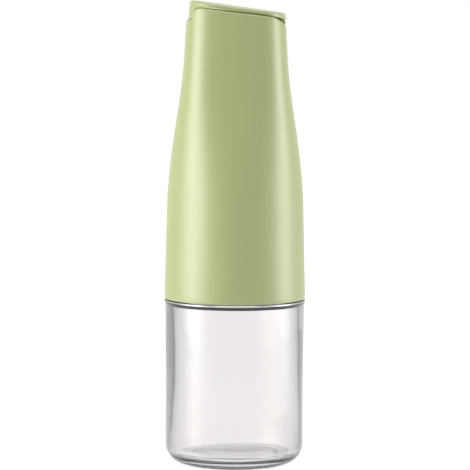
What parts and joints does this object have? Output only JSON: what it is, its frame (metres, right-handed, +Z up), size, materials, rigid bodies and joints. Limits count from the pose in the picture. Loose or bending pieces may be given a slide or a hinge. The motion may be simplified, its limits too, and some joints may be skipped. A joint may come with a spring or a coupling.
{
  "type": "oil dispenser bottle",
  "caption": "Oil dispenser bottle: round glass jar, tapered screw-off pouring top and a sloping flip lid that a counterweight opens when the bottle is tipped.",
  "frame": {"origin": "middle of the jar's foot, on the surface the bottle stands on", "axes": "+Z up; the spout and the front of the lid face -X, the lid's hinge is at +X with its axis along Y"},
  "size_m": [0.0802, 0.0802, 0.2626],
  "materials": {
    "clear_glass": "polished clear",
    "green_plastic": "satin, fine moulded",
    "white_plastic": "satin",
    "silicone": "frosted translucent",
    "steel": "plain ground"
  },
  "bodies": {
    "jar": {"glass_jar": "clear_glass"},
    "gasket": {"neck_gasket": "silicone"},
    "top": {"outer_shell": "green_plastic", "threaded_collar": "white_plastic", "pour_tube": "white_plastic", "tube_seal": "silicone", "breather_valve": "silicone", "pour_deck": "green_plastic", "drip_spout": "white_plastic", "hinge_pin": "steel"},
    "lid": {"flip_lid": "green_plastic", "lid_seal_pad": "silicone", "weight_carrier": "white_plastic", "counterweight": "steel", "weight_cover": "white_plastic"}
  },
  "joints": [
    {"name": "top_rise", "type": "slide", "parent": "jar", "child": "gasket", "axis": [0, 0, 1], "range_m": [0, 0.01701]},
    {"name": "top_unscrew", "type": "hinge", "parent": "gasket", "child": "top", "pos_m": [0, 0, 0.111], "axis": [0, 0, 1], "range_deg": [0, 1440]},
    {"name": "lid_flip", "type": "hinge", "parent": "top", "child": "lid", "pos_m": [0.0238, 0, 0.2504], "axis": [0, 1, 0], "range_deg": [0, 40]}
  ],
  "couplings": [
    {"joint": "top_rise", "follows": "top_unscrew", "m_per_rad": 0.00067641}
  ]
}
